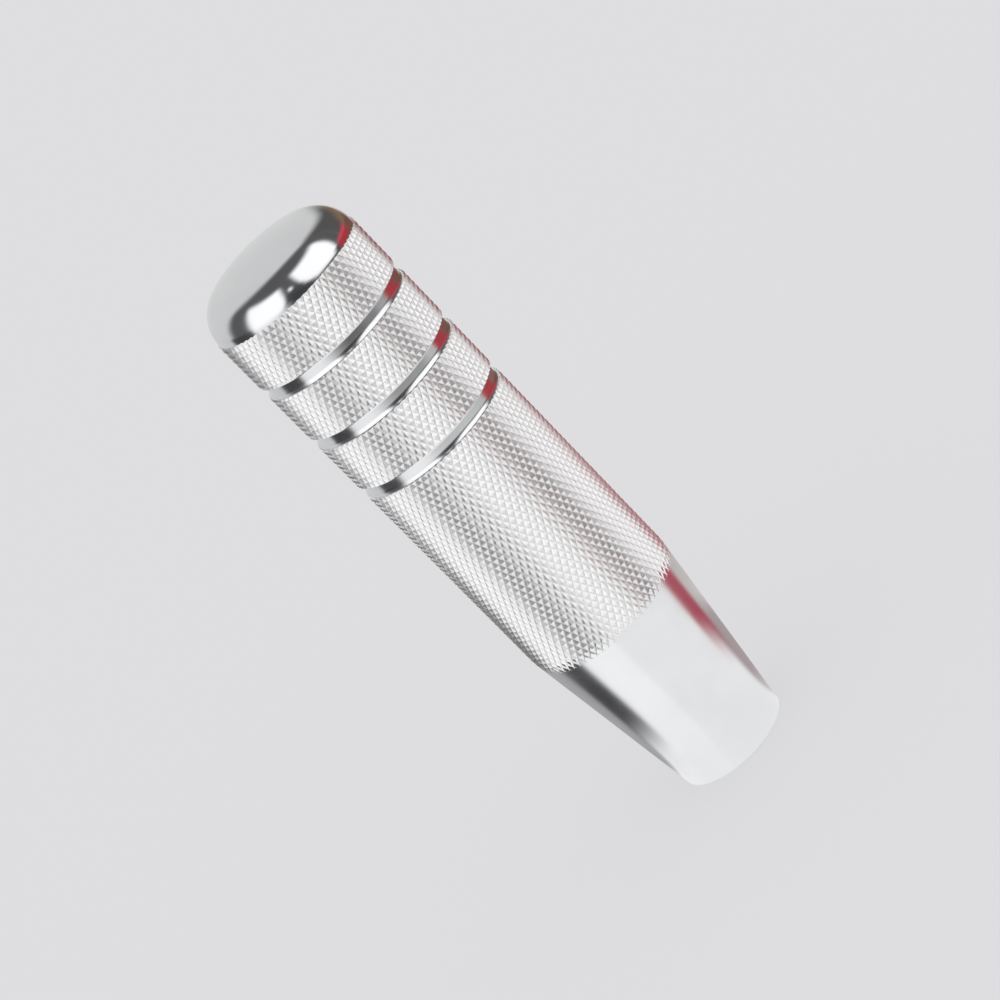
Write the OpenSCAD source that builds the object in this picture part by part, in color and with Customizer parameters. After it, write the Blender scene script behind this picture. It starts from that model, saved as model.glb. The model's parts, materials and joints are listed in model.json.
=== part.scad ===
// Long turned shift knob: domed head, knurled bands between turned grooves and a plain tapered skirt,
// bored from the base for a threaded adapter and the end of the lever.
// The origin is the centre of the base, and +Z runs up the knob's axis. All sizes are in millimetres.

/* [Overall] */
// Length from the base to the top of the crown
overall_length = 128; // [118:1:140]
// Diameter over the crests of the knurl
grip_diameter = 32; // [29:0.5:38]
// Diameter of the skirt at the base
base_diameter = 22.5; // [21:0.5:26]
// Height of the skirt, up to the roots of the knurl
skirt_height = 34; // [24:1:44]
// Width of the broken edge around the base
base_edge_break = 0.5; // [0.2:0.1:1]

/* [Head] */
// How far the smooth head lies under the crests of the knurl
head_relief = 0.25; // [0.1:0.05:0.45]
// Straight side of the head, below its rounded corner
head_side = 0.1; // [0.1:0.1:3]
// Radius of the rounded corner around the crown
head_corner = 7; // [3:0.5:9]
// Radius of the crown's shallow dome
crown_radius = 40; // [35:5:90]

/* [Grooves] */
// Number of turned grooves
groove_count = 3; // [1:1:4]
// From the head's lower edge to the middle of the first groove
first_groove_drop = 11.3; // [6:0.1:14]
// Distance between the middles of neighbouring grooves
groove_pitch = 12.4; // [8:0.1:14]
// Width of a groove between its lips
groove_width = 2.9; // [2.4:0.1:4]
// Depth of a groove's floor under the crests of the knurl
groove_depth = 0.75; // [0.7:0.05:1.1]

/* [Knurl] */
// Number of diamonds around the grip
knurl_columns = 48; // [24:4:52]
// Height of a crest over the roots
knurl_depth = 0.5; // [0.3:0.05:0.6]
// Angle of the knurl's lines to the axis
knurl_angle = 30; // [25:1:40]

/* [Lever Bore] */
// Diameter of the thread seat that holds the adapter
seat_diameter = 16; // [14:0.5:17]
// Depth of the thread seat
seat_depth = 20.5; // [14:0.5:24]
// Diameter of the hole for the end of the lever
lever_hole_diameter = 12; // [11:0.5:13]
// Depth of that hole from the base, without its drill point
lever_hole_depth = 50; // [34:1:70]
// Full angle of the drill point at its end
drill_point_angle = 118; // [90:1:140]
// Width of the chamfer at the mouth of the seat
mouth_chamfer = 0.6; // [0.3:0.1:1]

/* [Thread Adapter] */
// Thread diameter of the lever that screws into the adapter
lever_thread_diameter = 10; // [8:1:10]
// How far the adapter's lower face lies inside the base
adapter_recess = 0.5; // [0:0.1:2]
// Radial clearance between the adapter and its seat
adapter_clearance = 0.08; // [0.05:0.01:0.15]
// Width of the chamfers at the adapter's ends
adapter_chamfer = 0.8; // [0.3:0.1:1.2]

/* [Hidden] */
$fn = 96;
aluminium = [0.82, 0.83, 0.85];
turned_aluminium = [0.72, 0.73, 0.75];
// A cut runs this far past the surface that it opens
past = 1;
// The core lies this far under the flats of the knurl's roots
core_gap = 0.04;

crest_r = grip_diameter / 2;
root_r = crest_r - knurl_depth;
knurl_sides = 2 * knurl_columns;
core_r = root_r * cos(180 / knurl_sides) - core_gap;
base_r = base_diameter / 2;
head_r = crest_r - head_relief;

// The skirt's taper goes on through the knurl until it leaves the crests
taper = (core_r - base_r) / skirt_height;

// The corner's arc runs smoothly into the crown's arc, which fixes its centre and the head's height
corner_reach = crown_radius - head_corner;
corner_axis_r = head_r - head_corner;
corner_drop = crown_radius - sqrt(corner_reach * corner_reach - corner_axis_r * corner_axis_r);
crown_rim_r = crown_radius * corner_axis_r / corner_reach;
head_base_z = overall_length - corner_drop - head_side;
corner_z = overall_length - corner_drop;

// Each groove's middle, from the top one down
groove_z = [for (i = [0 : groove_count - 1]) head_base_z - first_groove_drop - i * groove_pitch];
// From a groove's middle to where its wall meets the roots of the knurl
root_half_width = groove_width / 2 - knurl_depth;
// From a groove's middle to the edge of its floor
floor_half_width = groove_width / 2 - groove_depth;
floor_r = crest_r - groove_depth;

// A full ring step of the knurl, half a diamond high
ring_step = PI * crest_r / knurl_columns / tan(knurl_angle);

// Bottom, top, height of the lead at the foot and slope of that lead, for each knurled band
top_band = [groove_z[0] + root_half_width, head_base_z, knurl_depth, 1];
middle_bands = [
    for (i = [1 : 1 : groove_count - 1])
        [groove_z[i] + root_half_width, groove_z[i - 1] - root_half_width, knurl_depth, 1]
];
long_band = [skirt_height, groove_z[groove_count - 1] - root_half_width, ring_step, taper];
bands = concat([top_band], middle_bands, [long_band]);

// Radius of a knurl crest at a height of the band, after the ends have been turned back
function crest_at(z, band) =
    min(crest_r, root_r + (z - band[0]) * band[3], root_r + band[1] - z);

// Heights of a band's rings of points: a plain ring at each end and the lattice between them
function ring_heights(band) =
    let (
        lattice_from = band[0] + band[2],
        lattice_to = band[1] - knurl_depth,
        rows = max(1, round((lattice_to - lattice_from) / ring_step))
    )
    concat(
        [band[0]],
        [for (k = [0 : rows]) lattice_from + (lattice_to - lattice_from) * k / rows],
        [band[1]]
    );

// One ring of points, where crests and the crossings of the root lines take turns
function ring_points(z, row, crest) = [
    for (j = [0 : knurl_sides - 1])
        let (
            r = (j + row) % 2 == 0 ? crest : root_r,
            a = 360 * j / knurl_sides
        )
        [r * cos(a), r * sin(a), z]
];

// Two faces between neighbouring rings, folded along the root line
function ring_faces(row, j) =
    let (
        lower_left = row * knurl_sides + j,
        lower_right = row * knurl_sides + (j + 1) % knurl_sides,
        upper_left = lower_left + knurl_sides,
        upper_right = lower_right + knurl_sides
    )
    (j + row) % 2 == 0
        ? [[lower_left, upper_left, lower_right], [upper_left, upper_right, lower_right]]
        : [[lower_left, upper_left, upper_right], [lower_left, upper_right, lower_right]];

// A band of raised diamonds, each a low pyramid of four faces
module knurl_band(band) {
    heights = ring_heights(band);
    last = len(heights) - 1;
    points = [
        for (row = [0 : last])
            each ring_points(heights[row], row, crest_at(heights[row], band))
    ];
    sides = [for (row = [0 : last - 1]) for (j = [0 : knurl_sides - 1]) each ring_faces(row, j)];
    foot = [for (j = [0 : knurl_sides - 1]) j];
    crown = [for (j = [0 : knurl_sides - 1]) last * knurl_sides + knurl_sides - 1 - j];
    polyhedron(points = points, faces = concat(sides, [foot, crown]), convexity = 8);
}

// Half section of the smooth head: crown, rounded corner and short straight side
module head_section() {
    intersection() {
        translate([0, overall_length - crown_radius])
            circle(r = crown_radius);
        translate([0, head_base_z])
            square([crown_rim_r, overall_length - head_base_z + past]);
    }
    intersection() {
        translate([corner_axis_r, corner_z])
            circle(r = head_corner);
        translate([0, corner_z])
            square([head_r + past, head_corner + past]);
    }
    translate([0, head_base_z])
        square([head_r, head_side]);
}

// Half section of the bar under the knurl, from the base up to the head
module core_section() {
    groove_lip = floor_half_width + core_r - floor_r;
    groove_points = [
        for (i = [groove_count - 1 : -1 : 0])
            each [
                [core_r, groove_z[i] - groove_lip],
                [floor_r, groove_z[i] - floor_half_width],
                [floor_r, groove_z[i] + floor_half_width],
                [core_r, groove_z[i] + groove_lip]
            ]
    ];
    polygon(concat(
        [[0, 0], [base_r - base_edge_break, 0], [base_r, base_edge_break], [core_r, skirt_height]],
        groove_points,
        [[core_r, head_base_z + head_side / 2], [0, head_base_z + head_side / 2]]
    ));
}

// The thread seat, the hole behind it with its drill point, and the chamfered mouth
module lever_bore() {
    hole_r = lever_hole_diameter / 2;
    seat_r = seat_diameter / 2;
    point_height = hole_r / tan(drill_point_angle / 2);
    translate([0, 0, -past])
        cylinder(h = seat_depth + past, r = seat_r);
    cylinder(h = lever_hole_depth, r = hole_r);
    translate([0, 0, lever_hole_depth])
        cylinder(h = point_height, r1 = hole_r, r2 = 0);
    translate([0, 0, -past])
        cylinder(h = mouth_chamfer + past, r1 = seat_r + mouth_chamfer + past, r2 = seat_r);
}

// The knob itself, turned and knurled from one bar
module knob_body() {
    color(aluminium)
        difference() {
            union() {
                rotate_extrude()
                    head_section();
                rotate_extrude()
                    core_section();
                for (band = bands)
                    knurl_band(band);
            }
            lever_bore();
        }
}

// The bush that fills the seat and takes the lever's thread
module thread_adapter() {
    outer_r = seat_diameter / 2 - adapter_clearance;
    bore_r = lever_thread_diameter / 2;
    bush_height = seat_depth - adapter_recess;
    color(turned_aluminium)
        translate([0, 0, adapter_recess])
            difference() {
                rotate_extrude()
                    polygon([
                        [0, 0],
                        [outer_r - adapter_chamfer, 0],
                        [outer_r, adapter_chamfer],
                        [outer_r, bush_height - adapter_chamfer],
                        [outer_r - adapter_chamfer, bush_height],
                        [0, bush_height]
                    ]);
                translate([0, 0, -past])
                    cylinder(h = bush_height + 2 * past, r = bore_r);
                translate([0, 0, -past])
                    cylinder(h = adapter_chamfer + past, r1 = bore_r + adapter_chamfer + past, r2 = bore_r);
            }
}

knob_body();
thread_adapter();
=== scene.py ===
"""Visual model of a long turned shift knob with a knurled grip.

The knob is made here as it is made on a lathe. A bar is knurled over its whole grip, and is then
turned: the turning envelope carries the domed head, the grooves, the tapered skirt and the bore, and
the knob is what lies inside both the bar and the envelope. All lengths are in metres.
"""

from __future__ import annotations

import json
import logging
import math
from collections.abc import Callable
from dataclasses import dataclass, field
from enum import Enum

import bmesh
import bpy
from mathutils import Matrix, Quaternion, Vector

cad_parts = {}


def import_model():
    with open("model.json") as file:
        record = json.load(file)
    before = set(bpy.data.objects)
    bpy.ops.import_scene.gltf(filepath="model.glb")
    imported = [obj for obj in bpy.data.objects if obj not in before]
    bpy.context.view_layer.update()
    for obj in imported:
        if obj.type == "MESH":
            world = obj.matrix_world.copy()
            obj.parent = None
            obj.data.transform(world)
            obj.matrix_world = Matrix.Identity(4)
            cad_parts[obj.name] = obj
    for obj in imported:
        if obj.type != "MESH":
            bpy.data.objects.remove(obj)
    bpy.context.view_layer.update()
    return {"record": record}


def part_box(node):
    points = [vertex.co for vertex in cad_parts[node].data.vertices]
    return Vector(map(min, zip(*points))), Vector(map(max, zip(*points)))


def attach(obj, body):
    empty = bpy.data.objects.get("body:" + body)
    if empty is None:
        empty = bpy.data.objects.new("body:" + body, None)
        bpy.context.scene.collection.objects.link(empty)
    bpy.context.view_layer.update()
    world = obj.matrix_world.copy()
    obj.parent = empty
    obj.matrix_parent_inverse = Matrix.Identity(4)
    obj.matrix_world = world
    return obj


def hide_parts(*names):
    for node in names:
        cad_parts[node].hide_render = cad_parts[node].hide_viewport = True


LOG = logging.getLogger("shift_knob")
MM = 0.001
FULL_TURN = 2 * math.pi
MERGE_DISTANCE = 0.001 * MM
# Most of a noise texture's grey values lie between these two
NOISE_SPREAD = (0.3, 0.7)

Outline = list[tuple[float, float]]
Colour = tuple[float, float, float]


class Zone(Enum):
    """Surfaces of the knob that a machinist finishes differently."""

    HEAD = "head"
    KNURL = "knurl"
    GROOVE = "groove"
    SKIRT = "skirt"
    BORE = "bore"


@dataclass(frozen=True)
class KnobSizes:
    """Sizes of the knob, on its own axis, with z measured from the base.

    The length and the grip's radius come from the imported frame, and the rest are the sizes that
    the construction gives to the same features.
    """

    length: float
    crest_r: float
    base_r: float = 11.25 * MM
    skirt_root_z: float = 34 * MM
    skirt_root_r: float = 15.45 * MM
    base_edge: float = 0.5 * MM
    head_relief: float = 0.25 * MM
    head_side: float = 0.1 * MM
    head_corner: float = 7 * MM
    crown_r: float = 40 * MM
    groove_count: int = 3
    first_groove_drop: float = 11.3 * MM
    groove_pitch: float = 12.4 * MM
    groove_depth: float = 0.72 * MM
    groove_floor: float = 1.28 * MM
    upper_shoulder: tuple[float, float] = (0.36 * MM, 50.0)
    lower_shoulder: tuple[float, float] = (0.86 * MM, 24.0)
    lip: float = 0.05 * MM
    seat_r: float = 8 * MM
    seat_depth: float = 20.5 * MM
    lever_hole_r: float = 6 * MM
    lever_hole_depth: float = 50 * MM
    drill_point: float = 3.6 * MM
    mouth_chamfer: float = 0.6 * MM

    @classmethod
    def from_frame(cls) -> KnobSizes:
        """Read the knob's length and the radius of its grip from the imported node.

        Returns:
            The knob's sizes.
        """
        low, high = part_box("knob_body")
        return cls(length=high.z - low.z, crest_r=(high.x - low.x) / 2)

    @property
    def head_r(self) -> float:
        """Radius of the head's straight side."""
        return self.crest_r - self.head_relief

    @property
    def corner_axis_r(self) -> float:
        """Distance from the knob's axis to the centre of the head's rounded corner."""
        return self.head_r - self.head_corner

    @property
    def corner_z(self) -> float:
        """Height of the centre of the head's rounded corner, whose arc runs into the crown's arc."""
        reach = self.crown_r - self.head_corner
        return self.length - self.crown_r + math.sqrt(reach**2 - self.corner_axis_r**2)

    @property
    def head_base_z(self) -> float:
        """Height of the head's lower edge."""
        return self.corner_z - self.head_side

    @property
    def taper(self) -> float:
        """Radius that the skirt gains for each metre of height."""
        return (self.skirt_root_r - self.base_r) / self.skirt_root_z

    @property
    def skirt_top_z(self) -> float:
        """Height at which the skirt's cone leaves the crests of the knurl."""
        return (self.crest_r - self.base_r) / self.taper

    def groove_heights(self) -> list[float]:
        """Heights of the grooves' middles, from the top one down.

        Returns:
            One height for each groove.
        """
        first = self.head_base_z - self.first_groove_drop
        return [first - index * self.groove_pitch for index in range(self.groove_count)]


def clear_selection() -> None:
    """Go to object mode with nothing selected, because an operator acts on all that is selected."""
    if bpy.context.object and bpy.context.object.mode != "OBJECT":
        bpy.ops.object.mode_set(mode="OBJECT")
    bpy.ops.object.select_all(action="DESELECT")


def edit(piece: bpy.types.Object) -> None:
    """Take one object into edit mode with all of it selected.

    Args:
        piece: The object to edit.
    """
    clear_selection()
    piece.select_set(True)
    bpy.context.view_layer.objects.active = piece
    bpy.ops.object.mode_set(mode="EDIT")
    bpy.ops.mesh.select_mode(type="VERT")
    bpy.ops.mesh.select_all(action="SELECT")


def select_vertices(piece: bpy.types.Object, wanted: Callable[[Vector], bool]) -> None:
    """Select the vertices whose place meets a test, and the edges and faces between them.

    Args:
        piece: The object in edit mode.
        wanted: The test of a vertex's place.
    """
    mesh = bmesh.from_edit_mesh(piece.data)
    for vertex in mesh.verts:
        vertex.select_set(wanted(vertex.co))
    mesh.select_flush(True)
    mesh.select_flush(False)
    bmesh.update_edit_mesh(piece.data)


def extrude(step: tuple[float, float, float]) -> None:
    """Extrude what is selected in edit mode.

    Args:
        step: The move of the new part.
    """
    bpy.ops.mesh.extrude_region_move(TRANSFORM_OT_translate={"value": step})


def scale_around_axis(factor: float) -> None:
    """Scale what is selected in edit mode away from the knob's axis.

    Args:
        factor: The factor in X and Y.
    """
    bpy.ops.transform.resize(value=(factor, factor, 1), center_override=(0, 0, 0))


def apply_modifier(piece: bpy.types.Object, kind: str, **settings: object) -> None:
    """Add a modifier to an object, set it and apply it.

    Args:
        piece: The object.
        kind: The modifier's type.
        settings: The modifier's properties.
    """
    clear_selection()
    piece.select_set(True)
    bpy.context.view_layer.objects.active = piece
    bpy.ops.object.modifier_add(type=kind)
    modifier = piece.modifiers[-1]
    for name, value in settings.items():
        setattr(modifier, name, value)
    bpy.ops.object.modifier_apply(modifier=modifier.name)


def cut(piece: bpy.types.Object, tool: bpy.types.Object, operation: str) -> None:
    """Combine an object with a tool and delete the tool.

    Args:
        piece: The object that is kept.
        tool: The object that cuts it.
        operation: INTERSECT, DIFFERENCE or UNION.
    """
    apply_modifier(piece, "BOOLEAN", operation=operation, solver="MANIFOLD", object=tool)
    bpy.data.objects.remove(tool, do_unlink=True)


def recalculate_normals() -> None:
    """Merge doubled points of the mesh in edit mode and turn its faces outwards."""
    bpy.ops.mesh.select_all(action="SELECT")
    bpy.ops.mesh.remove_doubles(threshold=MERGE_DISTANCE)
    bpy.ops.mesh.normals_make_consistent(inside=False)


def arc(centre: tuple[float, float], radius: float, start: float, end: float, steps: int) -> Outline:
    """Points along an arc of an outline, from its start to its end.

    Args:
        centre: The arc's centre, as its distance from the axis and its height.
        radius: The arc's radius.
        start: The first angle in degrees, where 0 points away from the axis and 90 up.
        end: The last angle in degrees.
        steps: The number of straight steps.

    Returns:
        The points, both ends included.
    """
    angles = [math.radians(start + (end - start) * step / steps) for step in range(steps + 1)]
    return [(centre[0] + radius * math.cos(a), centre[1] + radius * math.sin(a)) for a in angles]


def revolve(name: str, outline: Outline, segments: int, closed: bool = False) -> bpy.types.Object:
    """Turn an outline around the knob's axis into a closed solid.

    Args:
        name: The object's name.
        outline: The points, each as its distance from the axis and its height.
        segments: The number of segments around.
        closed: True if the last point is joined to the first, as on a ring.

    Returns:
        The solid.
    """
    radius, height = outline[0]
    clear_selection()
    bpy.ops.mesh.primitive_plane_add(size=MM, location=(radius, 0, height))
    solid = bpy.context.object
    solid.name = solid.data.name = name
    bpy.ops.object.transform_apply(location=True, rotation=True, scale=True)
    edit(solid)
    bpy.ops.mesh.merge(type="CENTER")
    path = outline[1:] + ([outline[0]] if closed else [])
    for next_radius, next_height in path:
        step = (next_radius - radius, 0, next_height - height)
        bpy.ops.mesh.extrude_vertices_move(TRANSFORM_OT_translate={"value": step})
        radius, height = next_radius, next_height
    bpy.ops.mesh.select_all(action="SELECT")
    bpy.ops.mesh.spin(steps=segments, angle=FULL_TURN, center=(0, 0, 0), axis=(0, 0, 1))
    recalculate_normals()
    clear_selection()
    return solid


@dataclass(frozen=True)
class TurningEnvelope:
    """The shape that the lathe leaves: head, grooves, skirt and bore, with plain bands between."""

    sizes: KnobSizes
    segments: int
    crown_steps: int = 16
    corner_steps: int = 28
    edge_steps: int = 4
    hollow_steps: int = 4
    floor_support: float = 0.1 * MM
    skirt_support: float = 0.6 * MM

    def head_outline(self) -> Outline:
        """Outline of the head, from the crown's middle to its lower edge.

        Returns:
            The outline's points.
        """
        sizes = self.sizes
        reach = sizes.crown_r - sizes.head_corner
        tangent = 90 - math.degrees(math.asin(sizes.corner_axis_r / reach))
        crown_centre = (0.0, sizes.length - sizes.crown_r)
        corner_centre = (sizes.corner_axis_r, sizes.corner_z)
        crown = arc(crown_centre, sizes.crown_r, 90, tangent, self.crown_steps)
        corner = arc(corner_centre, sizes.head_corner, tangent, 0, self.corner_steps)
        return crown + corner[1:] + [(sizes.head_r, sizes.head_base_z)]

    def groove_outline(self, middle: float) -> Outline:
        """Outline of one groove, from its upper lip to its lower one.

        Args:
            middle: The height of the groove's middle.

        Returns:
            The outline's points.
        """
        upper = self._groove_side(self.sizes.upper_shoulder)
        lower = self._groove_side(self.sizes.lower_shoulder)
        return [(radius, middle + height) for radius, height in upper] + [
            (radius, middle - height) for radius, height in reversed(lower)
        ]

    def _groove_side(self, shoulder: tuple[float, float]) -> Outline:
        """Outline of one side of a groove, from its lip to its floor.

        Args:
            shoulder: The length of the hollow shoulder between the floor and the lip, and the
                slope in degrees that it reaches there.

        Returns:
            The points, each as its distance from the axis and from the groove's middle.
        """
        sizes = self.sizes
        length, slope = shoulder
        floor_r = sizes.crest_r - sizes.groove_depth
        floor_edge = sizes.groove_floor / 2
        hollow_r = length / math.sin(math.radians(slope))
        hollow = arc((floor_r + hollow_r, floor_edge), hollow_r, 180 - slope, 180, self.hollow_steps)
        lip = (sizes.crest_r, floor_edge + length + sizes.lip)
        return [lip, *hollow, (floor_r, floor_edge - self.floor_support)]

    def groove_radius(self, above: float) -> float:
        """Radius of a groove's outline at one height.

        Args:
            above: The height above the groove's middle.

        Returns:
            The radius, or 0 outside the groove's lips.
        """
        height = abs(above)
        side = self._groove_side(self.sizes.upper_shoulder if above > 0 else self.sizes.lower_shoulder)
        if height > side[0][1]:
            return 0.0
        for (outer_r, outer_height), (inner_r, inner_height) in zip(side, side[1:]):
            if height >= inner_height:
                share = (height - inner_height) / (outer_height - inner_height)
                return inner_r + share * (outer_r - inner_r)
        return side[-1][0]

    def skirt_outline(self) -> Outline:
        """Outline of the skirt, from the foot of the knurl to the rim of the base.

        Returns:
            The outline's points.
        """
        sizes = self.sizes
        edge = sizes.base_edge
        support_z = sizes.skirt_root_z - self.skirt_support
        support_r = sizes.base_r + sizes.taper * support_z
        edge_r = sizes.base_r + sizes.taper * edge
        return [
            (sizes.crest_r, sizes.skirt_top_z),
            (support_r, support_z),
            *arc((edge_r - edge, edge), edge, 0, -90, self.edge_steps),
        ]

    def bore_outline(self) -> Outline:
        """Outline of the bore, from the rim of the base to the end of the drill point.

        Returns:
            The outline's points.
        """
        sizes = self.sizes
        return [
            (sizes.seat_r + sizes.mouth_chamfer, 0.0),
            (sizes.seat_r, sizes.mouth_chamfer),
            (sizes.seat_r, sizes.seat_depth),
            (sizes.lever_hole_r, sizes.seat_depth),
            (sizes.lever_hole_r, sizes.lever_hole_depth),
            (0.0, sizes.lever_hole_depth + sizes.drill_point),
        ]

    def build(self) -> bpy.types.Object:
        """Turn the whole outline.

        Returns:
            The envelope as a solid.
        """
        sizes = self.sizes
        outline = self.head_outline() + [(sizes.crest_r, sizes.head_base_z)]
        for middle in sizes.groove_heights():
            outline += self.groove_outline(middle)
        outline += self.skirt_outline() + self.bore_outline()
        return revolve("turning_envelope", outline, self.segments)


@dataclass(frozen=True)
class KnurledStock:
    """The bar before it is turned: rolled with crossed lines along the grip, plain above and below."""

    sizes: KnobSizes
    columns: int = 72
    depth: float = 0.34 * MM
    line_angle: float = 30.0
    tip_land: float = 0.05 * MM
    head_overlap: float = 0.05 * MM
    spare: float = 2 * MM
    collar_factor: float = 1.08

    @property
    def root_r(self) -> float:
        """Radius at the roots of the knurl."""
        return self.sizes.crest_r - self.depth

    @property
    def ring_step(self) -> float:
        """Half the height of a diamond."""
        half_width = math.pi * self.sizes.crest_r / self.columns
        return half_width / math.tan(math.radians(self.line_angle))

    def build(self) -> bpy.types.Object:
        """Roll one row of diamonds, repeat it along the grip and add the plain ends.

        Returns:
            The bar as a solid.
        """
        top = self.sizes.head_base_z + self.head_overlap
        low = self.sizes.skirt_root_z - self.spare
        rows = math.ceil((top - low) / (2 * self.ring_step))
        foot = top - rows * 2 * self.ring_step
        stock = self._row_of_diamonds(foot)
        apply_modifier(
            stock,
            "ARRAY",
            count=rows,
            use_relative_offset=False,
            use_constant_offset=True,
            constant_offset_displace=(0, 0, 2 * self.ring_step),
            use_merge_vertices=True,
            merge_threshold=MERGE_DISTANCE,
        )
        self._add_ends(stock, foot, top)
        return stock

    def _row_of_diamonds(self, foot: float) -> bpy.types.Object:
        """Model one row of diamonds around the bar, from one ring of crests to the next.

        Args:
            foot: The height of the lowest ring.

        Returns:
            The open row.
        """
        clear_selection()
        bpy.ops.mesh.primitive_circle_add(
            vertices=2 * self.columns, radius=self.root_r, location=(0, 0, foot)
        )
        row = bpy.context.object
        row.name = row.data.name = "knurled_knob"
        bpy.ops.object.transform_apply(location=True, rotation=True, scale=True)
        edit(row)
        extrude((0, 0, self.ring_step))
        extrude((0, 0, self.ring_step))
        column_angle = math.pi / self.columns

        def is_crest(place: Vector) -> bool:
            """Tell whether a crest is raised at a place of the lattice.

            Args:
                place: The vertex's place.

            Returns:
                True for a crest and False for a root.
            """
            column = round(math.atan2(place.y, place.x) / column_angle)
            ring = round((place.z - foot) / self.ring_step)
            return (column + ring) % 2 == 0

        select_vertices(row, is_crest)
        scale_around_axis((self.sizes.crest_r + self.tip_land) / self.root_r)
        bpy.ops.mesh.select_all(action="SELECT")
        bpy.ops.mesh.quads_convert_to_tris(quad_method="SHORTEST_DIAGONAL")
        clear_selection()
        return row

    def _add_ends(self, stock: bpy.types.Object, foot: float, top: float) -> None:
        """Close the knurled tube with a wider collar at its top and a plain tail below.

        Args:
            stock: The open tube.
            foot: The height of its lowest ring.
            top: The height of its highest ring.
        """
        edit(stock)
        select_vertices(stock, lambda place: place.z > top - self.ring_step / 2)
        extrude((0, 0, 0))
        scale_around_axis(self.collar_factor)
        extrude((0, 0, self.sizes.length + self.spare - top))
        bpy.ops.mesh.edge_face_add()
        select_vertices(stock, lambda place: place.z < foot + self.ring_step / 2)
        extrude((0, 0, -self.spare - foot))
        bpy.ops.mesh.edge_face_add()
        bpy.ops.mesh.select_all(action="SELECT")
        bpy.ops.mesh.normals_make_consistent(inside=False)
        clear_selection()


class NodeGraph:
    """A material's node tree with short calls for the nodes that the finishes share."""

    def __init__(self, name: str) -> None:
        """Start a material with one principled shader.

        Args:
            name: The material's name.
        """
        self.material = bpy.data.materials.new(name)
        self.material.use_nodes = True
        self.tree = self.material.node_tree
        self.shader = self.tree.nodes["Principled BSDF"]

    def add(self, kind: str, **settings: object) -> bpy.types.Node:
        """Add a node and set its properties.

        Args:
            kind: The node's type.
            settings: The node's properties.

        Returns:
            The node.
        """
        node = self.tree.nodes.new(kind)
        for name, value in settings.items():
            setattr(node, name, value)
        return node

    def link(self, source: bpy.types.NodeSocket, target: bpy.types.NodeSocket) -> None:
        """Join two sockets."""
        self.tree.links.new(source, target)

    def maths(self, operation: str, *values: bpy.types.NodeSocket | float) -> bpy.types.NodeSocket:
        """Add a Math node.

        Args:
            operation: The node's operation.
            values: Sockets or numbers for its inputs.

        Returns:
            The result's socket.
        """
        node = self.add("ShaderNodeMath", operation=operation)
        for socket, value in zip(node.inputs, values):
            if isinstance(value, bpy.types.NodeSocket):
                self.link(value, socket)
            else:
                socket.default_value = value
        return node.outputs["Value"]

    def object_place(self) -> bpy.types.NodeSocket:
        """Give the place on the piece, in its own coordinates."""
        return self.add("ShaderNodeTexCoord").outputs["Object"]

    def axis_distance(self) -> bpy.types.NodeSocket:
        """Work out the distance from the knob's axis.

        Returns:
            The distance's socket.
        """
        flat = self.add("ShaderNodeVectorMath", operation="MULTIPLY")
        self.link(self.object_place(), flat.inputs[0])
        flat.inputs[1].default_value = (1, 1, 0)
        length = self.add("ShaderNodeVectorMath", operation="LENGTH")
        self.link(flat.outputs["Vector"], length.inputs[0])
        return length.outputs["Value"]

    def turned_place(self) -> bpy.types.NodeSocket:
        """Work out a place that is the same all around the axis, for marks that the lathe leaves.

        Returns:
            The place's socket.
        """
        split = self.add("ShaderNodeSeparateXYZ")
        self.link(self.object_place(), split.inputs[0])
        join = self.add("ShaderNodeCombineXYZ")
        self.link(self.axis_distance(), join.inputs["X"])
        self.link(split.outputs["Z"], join.inputs["Z"])
        return join.outputs["Vector"]

    def noise(self, place: bpy.types.NodeSocket, size: float, detail: float) -> bpy.types.NodeSocket:
        """Add a noise texture.

        Args:
            place: Where it is read.
            size: The size of its largest grains.
            detail: The number of its octaves.

        Returns:
            The grey value's socket.
        """
        node = self.add("ShaderNodeTexNoise")
        self.link(place, node.inputs["Vector"])
        node.inputs["Scale"].default_value = 1 / size
        node.inputs["Detail"].default_value = detail
        return node.outputs["Fac"]

    def spread(
        self, value: bpy.types.NodeSocket, source: tuple[float, float], target: tuple[float, float]
    ) -> bpy.types.NodeSocket:
        """Map one range of numbers to another.

        Args:
            value: The number.
            source: The range that it comes in.
            target: The range that it goes to.

        Returns:
            The result's socket.
        """
        node = self.add("ShaderNodeMapRange")
        self.link(value, node.inputs["Value"])
        node.inputs["From Min"].default_value, node.inputs["From Max"].default_value = source
        node.inputs["To Min"].default_value, node.inputs["To Max"].default_value = target
        return node.outputs["Result"]

    def blend(
        self, share: bpy.types.NodeSocket, first: Colour, second: Colour
    ) -> bpy.types.NodeSocket:
        """Mix two colours.

        Args:
            share: The share of the second colour.
            first: The first colour.
            second: The second colour.

        Returns:
            The colour's socket.
        """
        node = self.add("ShaderNodeMix", data_type="RGBA")
        self.link(share, node.inputs["Factor"])
        node.inputs["A"].default_value = (*first, 1)
        node.inputs["B"].default_value = (*second, 1)
        return node.outputs["Result"]

    def bump(self, heights: list[tuple[bpy.types.NodeSocket, float]]) -> None:
        """Stack bumps and give the result to the shader.

        Args:
            heights: Each bump's grey value and its height in metres.
        """
        normal = None
        for value, height in heights:
            node = self.add("ShaderNodeBump")
            node.inputs["Strength"].default_value = 1
            node.inputs["Distance"].default_value = height
            self.link(value, node.inputs["Height"])
            if normal:
                self.link(normal, node.inputs["Normal"])
            normal = node.outputs["Normal"]
        self.link(normal, self.shader.inputs["Normal"])


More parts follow.
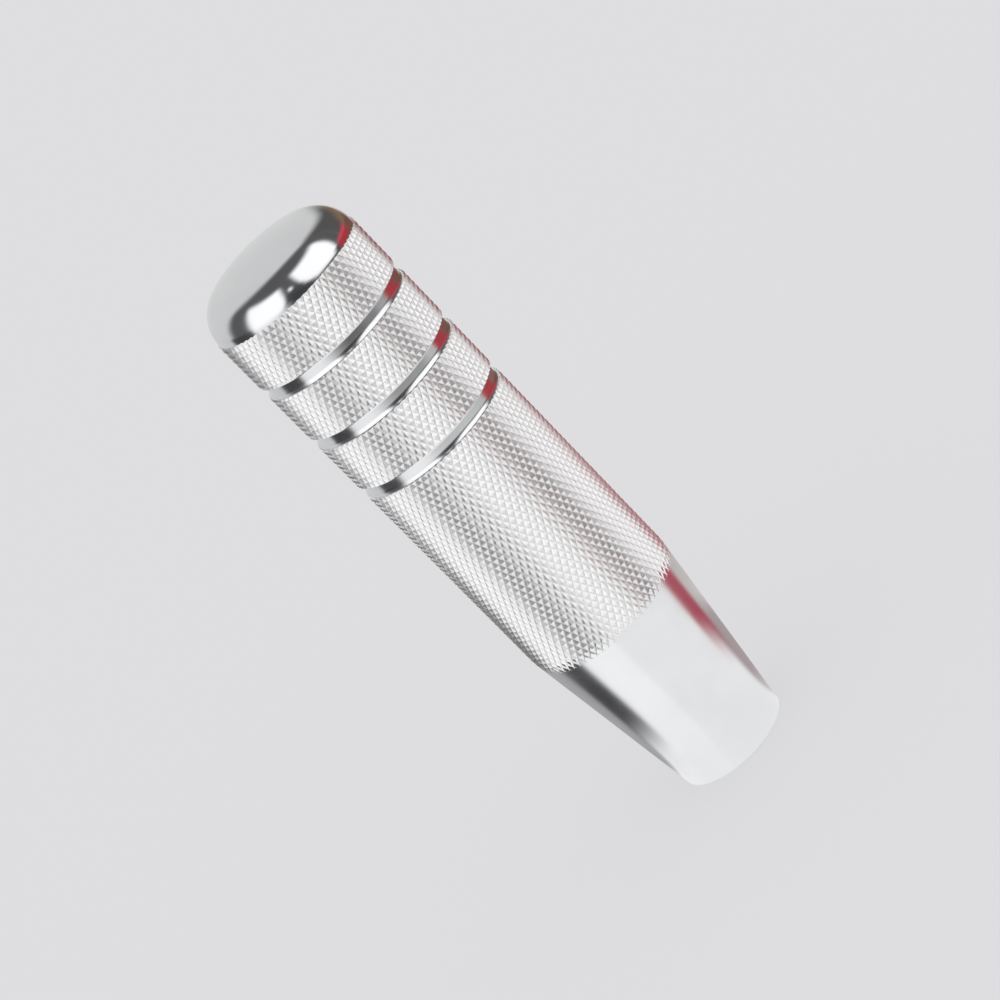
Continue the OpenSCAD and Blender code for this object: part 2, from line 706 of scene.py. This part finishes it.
@dataclass(frozen=True)
class TurnedFinish:
    """Bright turned aluminium with the fine rings of the tool and faint clouds from handling."""

    name: str
    colour: Colour = (0.80, 0.805, 0.82)
    cloud_colour: Colour = (0.77, 0.775, 0.79)
    roughness: tuple[float, float] = (0.10, 0.16)
    ring_pitch: float = 0.11 * MM
    ring_height: float = 0.0006 * MM
    ring_detail: float = 2.0
    cloud_size: float = 9 * MM
    cloud_detail: float = 4.0
    cloud_spread: tuple[float, float] = (0.35, 0.7)

    def material(self) -> bpy.types.Material:
        """Build the finish.

        Returns:
            The material.
        """
        graph = NodeGraph(self.name)
        graph.shader.inputs["Metallic"].default_value = 1
        clouds = graph.noise(graph.object_place(), self.cloud_size, self.cloud_detail)
        rings = graph.noise(graph.turned_place(), self.ring_pitch, self.ring_detail)
        graph.link(
            graph.blend(graph.spread(clouds, self.cloud_spread, (0, 1)), self.colour, self.cloud_colour),
            graph.shader.inputs["Base Color"],
        )
        graph.link(graph.spread(clouds, NOISE_SPREAD, self.roughness), graph.shader.inputs["Roughness"])
        graph.bump([(rings, self.ring_height)])
        return graph.material


@dataclass(frozen=True)
class KnurlFinish:
    """Rolled aluminium: roots painted darker than the crests, as painted shade and dirt, with the slight
    grain of a rolled face.
    """

    name: str
    crest_r: float
    root_r: float
    crest_colour: Colour = (0.83, 0.83, 0.83)
    # The roots' colour and the share of the depth that it covers: painted shade in the knurl's hollows,
    # with some dirt
    shaded_root_colour: Colour = (0.70, 0.70, 0.705)
    root_share: float = 0.12
    roughness: tuple[float, float] = (0.28, 0.38)
    grain_size: float = 0.22 * MM
    grain_height: float = 0.004 * MM
    grain_detail: float = 3.0

    def material(self) -> bpy.types.Material:
        """Build the finish.

        Returns:
            The material.
        """
        graph = NodeGraph(self.name)
        graph.shader.inputs["Metallic"].default_value = 1
        radius = graph.axis_distance()
        # Below this radius the roots are painted darker: painted shade in the hollows, with some dirt
        root_shade_top = self.root_r + self.root_share * (self.crest_r - self.root_r)
        height = graph.spread(radius, (self.root_r, root_shade_top), (0, 1))
        graph.link(
            graph.blend(height, self.shaded_root_colour, self.crest_colour), graph.shader.inputs["Base Color"]
        )
        grain = graph.noise(graph.object_place(), self.grain_size, self.grain_detail)
        graph.link(graph.spread(grain, NOISE_SPREAD, self.roughness), graph.shader.inputs["Roughness"])
        graph.bump([(grain, self.grain_height)])
        return graph.material


TURNED_FINISHES = {
    Zone.HEAD: TurnedFinish("polished_aluminium"),
    Zone.GROOVE: TurnedFinish("groove_aluminium", roughness=(0.14, 0.20)),
    Zone.SKIRT: TurnedFinish("satin_aluminium", roughness=(0.18, 0.24)),
    Zone.BORE: TurnedFinish("bored_aluminium", roughness=(0.28, 0.38), ring_height=0.004 * MM),
}
ADAPTER_FINISH = TurnedFinish(
    "adapter_aluminium",
    colour=(0.66, 0.665, 0.68),
    cloud_colour=(0.60, 0.605, 0.62),
    roughness=(0.24, 0.34),
    ring_height=0.003 * MM,
)


@dataclass
class KnobBody:
    """The knob, turned and knurled from one bar."""

    sizes: KnobSizes
    smooth_angle: float = 22.0
    skirt_margin: float = 0.02 * MM
    groove_margin: float = 0.012 * MM
    inward_limit: float = -0.5
    zone_order: tuple[Zone, ...] = (Zone.KNURL, Zone.HEAD, Zone.GROOVE, Zone.SKIRT, Zone.BORE)
    stock: KnurledStock = field(init=False)
    envelope: TurningEnvelope = field(init=False)

    def __post_init__(self) -> None:
        """Set up the bar and the turning envelope."""
        self.stock = KnurledStock(self.sizes)
        self.envelope = TurningEnvelope(self.sizes, segments=2 * self.stock.columns)

    def build(self) -> bpy.types.Object:
        """Cut the knurled bar to the turning envelope and dress it.

        Returns:
            The finished piece.
        """
        body = self.stock.build()
        cut(body, self.envelope.build(), "INTERSECT")
        edit(body)
        recalculate_normals()
        clear_selection()
        self._dress(body)
        body.select_set(True)
        bpy.context.view_layer.objects.active = body
        bpy.ops.object.shade_smooth_by_angle(angle=math.radians(self.smooth_angle))
        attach(body, "root")
        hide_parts("knob_body")
        return body

    def _dress(self, body: bpy.types.Object) -> None:
        """Give each face the finish of its zone.

        Args:
            body: The piece.
        """
        knurl = KnurlFinish("knurled_aluminium", self.sizes.crest_r, self.stock.root_r)
        finishes = {Zone.KNURL: knurl, **TURNED_FINISHES}
        body.data.materials.clear()
        for zone in self.zone_order:
            body.data.materials.append(finishes[zone].material())
        for face in body.data.polygons:
            face.material_index = self.zone_order.index(self._zone_of(face.center, face.normal))

    def _zone_of(self, centre: Vector, normal: Vector) -> Zone:
        """Tell which zone a face lies in.

        Args:
            centre: The face's middle.
            normal: The face's normal.

        Returns:
            The zone.
        """
        sizes = self.sizes
        radius = math.hypot(centre.x, centre.y)
        outward = (centre.x * normal.x + centre.y * normal.y) / max(radius, MERGE_DISTANCE)
        if centre.z > sizes.head_base_z - MERGE_DISTANCE:
            return Zone.HEAD
        inside = radius < sizes.base_r - 2 * sizes.base_edge
        if centre.z < MERGE_DISTANCE or inside or outward < self.inward_limit:
            return Zone.BORE
        cone_r = sizes.base_r + sizes.taper * centre.z
        if radius > cone_r - self.skirt_margin:
            return Zone.SKIRT
        for middle in sizes.groove_heights():
            turned_r = self.envelope.groove_radius(centre.z - middle)
            if abs(radius - turned_r) < self.groove_margin:
                return Zone.GROOVE
        return Zone.KNURL


@dataclass
class ThreadAdapter:
    """The bush in the base, with the lever's thread cut into its bore."""

    thread_r: float
    low_z: float
    high_z: float
    outer_r: float
    chamfer: float = 0.8 * MM
    mouth_relief: float = 0.3 * MM
    thread_pitch: float = 1.5 * MM
    thread_depth_share: float = 0.5413
    thread_flank: float = 30.0
    root_share: float = 1 / 16
    cutter_share: float = 0.15
    segments: int = 96
    smooth_angle: float = 25.0

    @classmethod
    def from_frame(cls, record: dict) -> ThreadAdapter:
        """Read the bush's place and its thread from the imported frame.

        Args:
            record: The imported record.

        Returns:
            The bush.
        """
        low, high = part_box("thread_adapter")
        mount = next(m for m in record["mounts"] if m["name"] == "lever_thread")
        return cls(mount["dims"]["r_mm"] * MM, low.z, high.z, (high.x - low.x) / 2)

    @property
    def minor_r(self) -> float:
        """Radius at the crests of the internal thread, by the metric profile."""
        return self.thread_r - self.thread_depth_share * self.thread_pitch

    def build(self) -> bpy.types.Object:
        """Turn the bush, cut its thread and dress it.

        Returns:
            The finished piece.
        """
        bore_mouth = self.thread_r + self.mouth_relief
        mouth_drop = bore_mouth - self.minor_r
        outline = [
            (bore_mouth, self.low_z),
            (self.outer_r - self.chamfer, self.low_z),
            (self.outer_r, self.low_z + self.chamfer),
            (self.outer_r, self.high_z - self.chamfer),
            (self.outer_r - self.chamfer, self.high_z),
            (bore_mouth, self.high_z),
            (self.minor_r, self.high_z - mouth_drop),
            (self.minor_r, self.low_z + mouth_drop),
        ]
        bush = revolve("lever_bush", outline, self.segments, closed=True)
        cut(bush, self._thread_cutter(), "DIFFERENCE")
        edit(bush)
        recalculate_normals()
        clear_selection()
        bush.data.materials.clear()
        bush.data.materials.append(ADAPTER_FINISH.material())
        bush.select_set(True)
        bpy.context.view_layer.objects.active = bush
        bpy.ops.object.shade_smooth_by_angle(angle=math.radians(self.smooth_angle))
        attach(bush, "root")
        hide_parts("thread_adapter")
        return bush

    def _thread_cutter(self) -> bpy.types.Object:
        """Wind the section of one thread groove along the bore, past both of its ends.

        Returns:
            The cutter as a solid.
        """
        pitch = self.thread_pitch
        inner_r = self.minor_r - self.cutter_share * pitch
        slope = math.tan(math.radians(self.thread_flank))
        root_half = pitch * self.root_share
        mouth_half = root_half + (self.thread_r - inner_r) * slope
        start_z = self.low_z - pitch
        turns = math.ceil((self.high_z - self.low_z) / pitch) + 1
        clear_selection()
        bpy.ops.mesh.primitive_plane_add(size=2, location=(0, 0, 0))
        cutter = bpy.context.object
        cutter.name = cutter.data.name = "thread_cutter"
        edit(cutter)
        bpy.ops.mesh.delete(type="ONLY_FACE")
        mesh = bmesh.from_edit_mesh(cutter.data)
        for vertex in mesh.verts:
            outer = vertex.co.x > 0
            half = root_half if outer else mouth_half
            side = half if vertex.co.y > 0 else -half
            vertex.co = (self.thread_r if outer else inner_r, 0, start_z + side)
        bmesh.update_edit_mesh(cutter.data)
        clear_selection()
        apply_modifier(
            cutter,
            "SCREW",
            axis="Z",
            angle=FULL_TURN,
            screw_offset=pitch,
            iterations=turns,
            steps=self.segments // 2,
            render_steps=self.segments // 2,
            use_merge_vertices=True,
            merge_threshold=MERGE_DISTANCE,
        )
        edit(cutter)
        bpy.ops.mesh.fill_holes(sides=0)
        recalculate_normals()
        clear_selection()
        return cutter


# Limits that lie past all that a patch can reach: under the tent's horizon, over the table's edge, and
# on either side of the seam behind the knob
BELOW = -30.0
FAR = 4.0
BEHIND_LEFT = -200.0
BEHIND_RIGHT = 200.0


@dataclass(frozen=True)
class SoftPatch:
    """A patch of light or dark with soft edges, as seen from the knob.

    Azimuth 0 is towards the camera and 90 is to its right, in degrees. The reach is the range of
    elevations in degrees on the tent, and the range of distances from the knob's axis on the table.
    Each feather is half the width of a soft edge. A later patch covers the ones before it.
    """

    azimuth: tuple[float, float]
    reach: tuple[float, float]
    colour: Colour
    azimuth_feather: float
    reach_feather: float


@dataclass(frozen=True)
class GlowingSurface:
    """A surface that only reflections see, painted with patches that glow."""

    name: str
    base: Colour

    def hide_from_others(self, surface: bpy.types.Object) -> None:
        """Keep a surface out of the camera's view and out of the light.

        Args:
            surface: The surface.
        """
        for ray in ("camera", "diffuse", "transmission", "volume_scatter", "shadow"):
            setattr(surface, f"visible_{ray}", False)

    def window(
        self, graph: NodeGraph, value: bpy.types.NodeSocket, limits: tuple[float, float], feather: float
    ) -> bpy.types.NodeSocket:
        """Give 1 between two limits and 0 outside, with soft edges.

        Args:
            graph: The material's node graph.
            value: The number that is tested.
            limits: The two limits.
            feather: The half width of a soft edge.

        Returns:
            The window's socket.
        """
        low, high = limits
        rise = graph.spread(value, (low - feather, low + feather), (0, 1))
        fall = graph.spread(value, (high - feather, high + feather), (1, 0))
        for edge in (rise, fall):
            edge.node.interpolation_type = "SMOOTHSTEP"
        return graph.maths("MULTIPLY", rise, fall)

    def paint(
        self,
        graph: NodeGraph,
        under: bpy.types.NodeSocket | None,
        share: bpy.types.NodeSocket,
        colour: Colour,
    ) -> bpy.types.NodeSocket:
        """Lay a colour over what is already painted.

        Args:
            graph: The material's node graph.
            under: What is painted so far, or None over the plain base colour.
            share: How much of the colour shows.
            colour: The colour.

        Returns:
            The colour's socket.
        """
        layer = graph.blend(share, self.base, colour)
        if under:
            graph.link(under, layer.node.inputs["A"])
        return layer

    def paint_patches(
        self,
        graph: NodeGraph,
        azimuth: bpy.types.NodeSocket,
        reach: bpy.types.NodeSocket,
        patches: tuple[SoftPatch, ...],
        under: bpy.types.NodeSocket | None = None,
    ) -> bpy.types.NodeSocket:
        """Lay patches over what is already painted, one after another.

        Args:
            graph: The material's node graph.
            azimuth: The azimuth's socket, in degrees.
            reach: The reach's socket, in the patches' unit.
            patches: The patches.
            under: What is painted so far, or None over the plain base colour.

        Returns:
            The colour's socket.
        """
        for patch in patches:
            share = graph.maths(
                "MULTIPLY",
                self.window(graph, azimuth, patch.azimuth, patch.azimuth_feather),
                self.window(graph, reach, patch.reach, patch.reach_feather),
            )
            under = self.paint(graph, under, share, patch.colour)
        return under

    def azimuth(self, graph: NodeGraph) -> bpy.types.NodeSocket:
        """Work out the azimuth of a place on the surface.

        Args:
            graph: The material's node graph.

        Returns:
            The azimuth's socket, in degrees.
        """
        split = graph.add("ShaderNodeSeparateXYZ")
        graph.link(graph.object_place(), split.inputs[0])
        towards_camera = graph.maths("MULTIPLY", split.outputs["Y"], -1.0)
        angle = graph.maths("ARCTAN2", split.outputs["X"], towards_camera)
        return graph.maths("MULTIPLY", angle, math.degrees(1))

    def glow(self, graph: NodeGraph, colour: bpy.types.NodeSocket) -> bpy.types.Material:
        """Let the painted colour shine, and finish the material.

        Args:
            graph: The material's node graph.
            colour: The painted colour.

        Returns:
            The material.
        """
        shine = graph.add("ShaderNodeEmission")
        graph.link(colour, shine.inputs["Color"])
        graph.link(shine.outputs["Emission"], graph.tree.nodes["Material Output"].inputs["Surface"])
        graph.tree.nodes.remove(graph.shader)
        return graph.material


@dataclass(frozen=True)
class LightTent(GlowingSurface):
    """The room around the knob: pale walls, a dark front, softboxes, a red card and a ceiling light."""

    name: str = "light_tent"
    base: Colour = (0.71, 0.715, 0.71)
    centre_z: float = 128 * MM
    radius: float = 3.0
    segments: int = 48
    ceiling_tilt: float = 38.0
    ceiling_turn: float = 9.0
    ceiling_half_angle: float = 41.5
    ceiling_feather: float = 8.0
    ceiling_colour: Colour = (0.71, 0.715, 0.71)
    room: tuple[SoftPatch, ...] = (
        SoftPatch((-111, 106), (BELOW, 100), (0.108, 0.108, 0.110), 8, 4),
        SoftPatch((98, 164), (BELOW, 60), (0.105, 0.10, 0.098), 10, 6),
        SoftPatch((128, 168), (BELOW, 8), (0.24, 0.165, 0.11), 8, 8),
        SoftPatch((-30, 60), (BELOW, -2), (0.065, 0.065, 0.066), 12, 8),
    )
    lights: tuple[SoftPatch, ...] = (
        SoftPatch((-76, -14), (BELOW, 42), (1.28, 1.28, 1.28), 6, 6),
        SoftPatch((12, 83), (-9, 49), (1.27, 1.27, 1.27), 5, 7),
        SoftPatch((-11, 12), (BELOW, 24), (0.085, 0.085, 0.086), 4, 5),
        SoftPatch((-15, 17), (BELOW, 13), (0.07, 0.07, 0.071), 4.5, 5),
        SoftPatch((-19, 23), (BELOW, 3), (0.06, 0.06, 0.062), 5, 5),
        SoftPatch((-4, 1), (16.5, 24.5), (1.4, 1.4, 1.45), 3.5, 4),
        SoftPatch((90, 126), (BELOW, 2), (0.80, 0.075, 0.12), 5, 5),
    )

    def build(self) -> bpy.types.Object:
        """Build the tent as a sphere that glows by direction.

        Returns:
            The tent.
        """
        clear_selection()
        bpy.ops.mesh.primitive_uv_sphere_add(
            segments=self.segments, ring_count=self.segments // 2, radius=self.radius, location=(0, 0, 0)
        )
        tent = bpy.context.object
        tent.name = self.name
        tent.location = (0, 0, self.centre_z)
        tent.data.materials.append(self._material())
        self.hide_from_others(tent)
        return tent

    def _material(self) -> bpy.types.Material:
        """Paint the room, the overhead light and the softboxes.

        Returns:
            The tent's material.
        """
        graph = NodeGraph(self.name)
        azimuth = self.azimuth(graph)
        direction = graph.add("ShaderNodeVectorMath", operation="NORMALIZE")
        graph.link(graph.object_place(), direction.inputs[0])
        split = graph.add("ShaderNodeSeparateXYZ")
        graph.link(direction.outputs["Vector"], split.inputs[0])
        elevation = graph.maths("ARCSINE", split.outputs["Z"])
        elevation = graph.maths("MULTIPLY", elevation, math.degrees(1))
        colour = self.paint_patches(graph, azimuth, elevation, self.room)
        tilt = math.radians(self.ceiling_tilt)
        turn = math.radians(self.ceiling_turn)
        towards_ceiling = graph.add("ShaderNodeVectorMath", operation="DOT_PRODUCT")
        graph.link(direction.outputs["Vector"], towards_ceiling.inputs[0])
        towards_ceiling.inputs[1].default_value = (
            -math.sin(turn) * math.sin(tilt),
            math.cos(turn) * math.sin(tilt),
            math.cos(tilt),
        )
        angle = graph.maths("ARCCOSINE", towards_ceiling.outputs["Value"])
        angle = graph.maths("MULTIPLY", angle, math.degrees(1))
        disc = self.window(graph, angle, (BELOW, self.ceiling_half_angle), self.ceiling_feather)
        colour = self.paint(graph, colour, disc, self.ceiling_colour)
        colour = self.paint_patches(graph, azimuth, elevation, self.lights, colour)
        return self.glow(graph, colour)


@dataclass(frozen=True)
class GlowingTable(GlowingSurface):
    """The white table under the knob, with the dark and coloured cards that lie around it."""

    name: str = "glowing_table"
    base: Colour = (0.98, 0.98, 0.975)
    radius: float = 2.9
    segments: int = 64
    drop: float = 0.4 * MM
    cards: tuple[SoftPatch, ...] = (
        SoftPatch((-84, -21), (0.02, 0.33), (1.08, 1.08, 1.07), 4, 0.03),
        SoftPatch((-18, 130), (0.32, FAR), (0.07, 0.07, 0.07), 28, 0.13),
        SoftPatch((62, 100), (0.20, 0.46), (0.60, 0.60, 0.595), 12, 0.04),
        SoftPatch((-16, 27), (0.50, FAR), (0.055, 0.055, 0.056), 10, 0.06),
        SoftPatch((-78, -24), (0.78, FAR), (1.2, 1.2, 1.2), 5, 0.10),
        SoftPatch((30, 76), (0.78, FAR), (1.2, 1.2, 1.2), 7, 0.10),
        SoftPatch((BEHIND_LEFT, -108), (0.014, 0.10), (0.42, 0.42, 0.42), 6, 0.008),
        SoftPatch((BEHIND_LEFT, -117), (0.20, FAR), (0.68, 0.68, 0.68), 4, 0.03),
        SoftPatch((-112, -74), (0.034, 0.095), (0.062, 0.061, 0.065), 5, 0.012),
        SoftPatch((-92, -74), (0.08, 0.20), (0.05, 0.05, 0.053), 4, 0.02),
        SoftPatch((-117, -75.5), (0.19, FAR), (0.058, 0.058, 0.06), 4, 0.03),
        SoftPatch((40, 82), (0.09, 0.20), (0.75, 0.75, 0.75), 8, 0.02),
        SoftPatch((98, 165), (0.014, 0.062), (0.44, 0.38, 0.38), 8, 0.012),
        SoftPatch((98, BEHIND_RIGHT), (0.062, 0.10), (0.60, 0.56, 0.54), 8, 0.012),
        SoftPatch((104, BEHIND_RIGHT), (0.10, 0.19), (0.42, 0.32, 0.34), 8, 0.01),
        SoftPatch((80, 111), (0.042, 0.094), (0.44, 0.07, 0.105), 5, 0.012),
        SoftPatch((87.5, 128), (0.20, FAR), (0.42, 0.052, 0.062), 4.5, 0.03),
        SoftPatch((150, BEHIND_RIGHT), (0.45, FAR), (0.68, 0.68, 0.68), 8, 0.05),
        SoftPatch((122, BEHIND_RIGHT), (0.20, 0.46), (0.25, 0.14, 0.13), 10, 0.03),
        SoftPatch((122, 160), (0.33, FAR), (0.20, 0.09, 0.07), 10, 0.05),
    )

    def build(self) -> bpy.types.Object:
        """Build the table as a disc that glows by place.

        Returns:
            The table.
        """
        clear_selection()
        bpy.ops.mesh.primitive_circle_add(
            vertices=self.segments, radius=self.radius, fill_type="NGON", location=(0, 0, 0)
        )
        table = bpy.context.object
        table.name = self.name
        table.location = (0, 0, -self.drop)
        graph = NodeGraph(self.name)
        colour = self.paint_patches(graph, self.azimuth(graph), graph.axis_distance(), self.cards)
        table.data.materials.append(self.glow(graph, colour))
        self.hide_from_others(table)
        return table


@dataclass(frozen=True)
class Studio:
    """A pale floor under even light, the light tent and the camera."""

    sizes: KnobSizes
    backdrop: Colour = (0.7305, 0.7305, 0.7454)
    floor_r: float = 8.0
    floor_segments: int = 96
    floor_colour: Colour = (0.3, 0.3, 0.3)
    floor_glow: float = 0.7
    aim_x: float = 0.195 * MM
    aim_z: float = 64.4 * MM
    camera_distance: float = 576 * MM
    camera_elevation: float = 18.35
    camera_roll: float = 44.4
    focal_pixels: float = 3252.4
    image_pixels: float = 1000.0
    sensor_width: float = 36.0

    def build(self) -> None:
        """Set up the whole studio."""
        self._set_colours()
        self._build_world()
        self._build_floor()
        LightTent(centre_z=self.sizes.length).build()
        GlowingTable().build()
        self._build_camera()

    def _set_colours(self) -> None:
        """Show the colours without a film curve."""
        bpy.context.scene.view_settings.view_transform = "Standard"
        bpy.context.scene.view_settings.look = "None"

    def _build_world(self) -> None:
        """Light everything evenly with the backdrop's colour."""
        world = bpy.data.worlds.new("even_light")
        world.use_nodes = True
        background = world.node_tree.nodes["Background"]
        background.inputs["Color"].default_value = (*self.backdrop, 1)
        bpy.context.scene.world = world

    def _build_floor(self) -> None:
        """Lay a wide pale floor under the knob."""
        clear_selection()
        bpy.ops.mesh.primitive_circle_add(
            vertices=self.floor_segments, radius=self.floor_r, fill_type="NGON", location=(0, 0, 0)
        )
        floor = bpy.context.object
        floor.name = "floor"
        graph = NodeGraph("floor_white")
        graph.shader.inputs["Roughness"].default_value = 1
        graph.shader.inputs["Specular IOR Level"].default_value = 0
        graph.shader.inputs["Base Color"].default_value = (*self.floor_colour, 1)
        graph.shader.inputs["Emission Color"].default_value = (*self.backdrop, 1)
        graph.shader.inputs["Emission Strength"].default_value = self.floor_glow
        floor.data.materials.append(graph.material)
        floor.visible_glossy = False

    def _build_camera(self) -> None:
        """Place the camera in front of the knob, above it and turned on its side."""
        elevation = math.radians(self.camera_elevation)
        data = bpy.data.cameras.new("camera")
        data.sensor_width = self.sensor_width
        data.lens = self.sensor_width * self.focal_pixels / self.image_pixels
        camera = bpy.data.objects.new("camera", data)
        bpy.context.scene.collection.objects.link(camera)
        offset = Vector((0, -math.cos(elevation), math.sin(elevation))) * self.camera_distance
        camera.location = Vector((self.aim_x, 0, self.aim_z)) + offset
        look = (-offset).to_track_quat("-Z", "Y")
        camera.rotation_mode = "QUATERNION"
        camera.rotation_quaternion = look @ Quaternion((0, 0, 1), -math.radians(self.camera_roll))
        bpy.context.scene.camera = camera


def main() -> None:
    """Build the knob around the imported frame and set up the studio."""
    logging.basicConfig(level=logging.INFO, format="%(name)s: %(message)s")
    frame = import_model()
    sizes = KnobSizes.from_frame()
    Studio(sizes).build()
    pieces = [
        KnobBody(sizes).build(),
        ThreadAdapter.from_frame(frame["record"]).build(),
    ]
    for piece in pieces:
        LOG.info("%s: %d faces", piece.name, len(piece.data.polygons))


if __name__ == "__main__":
    main()
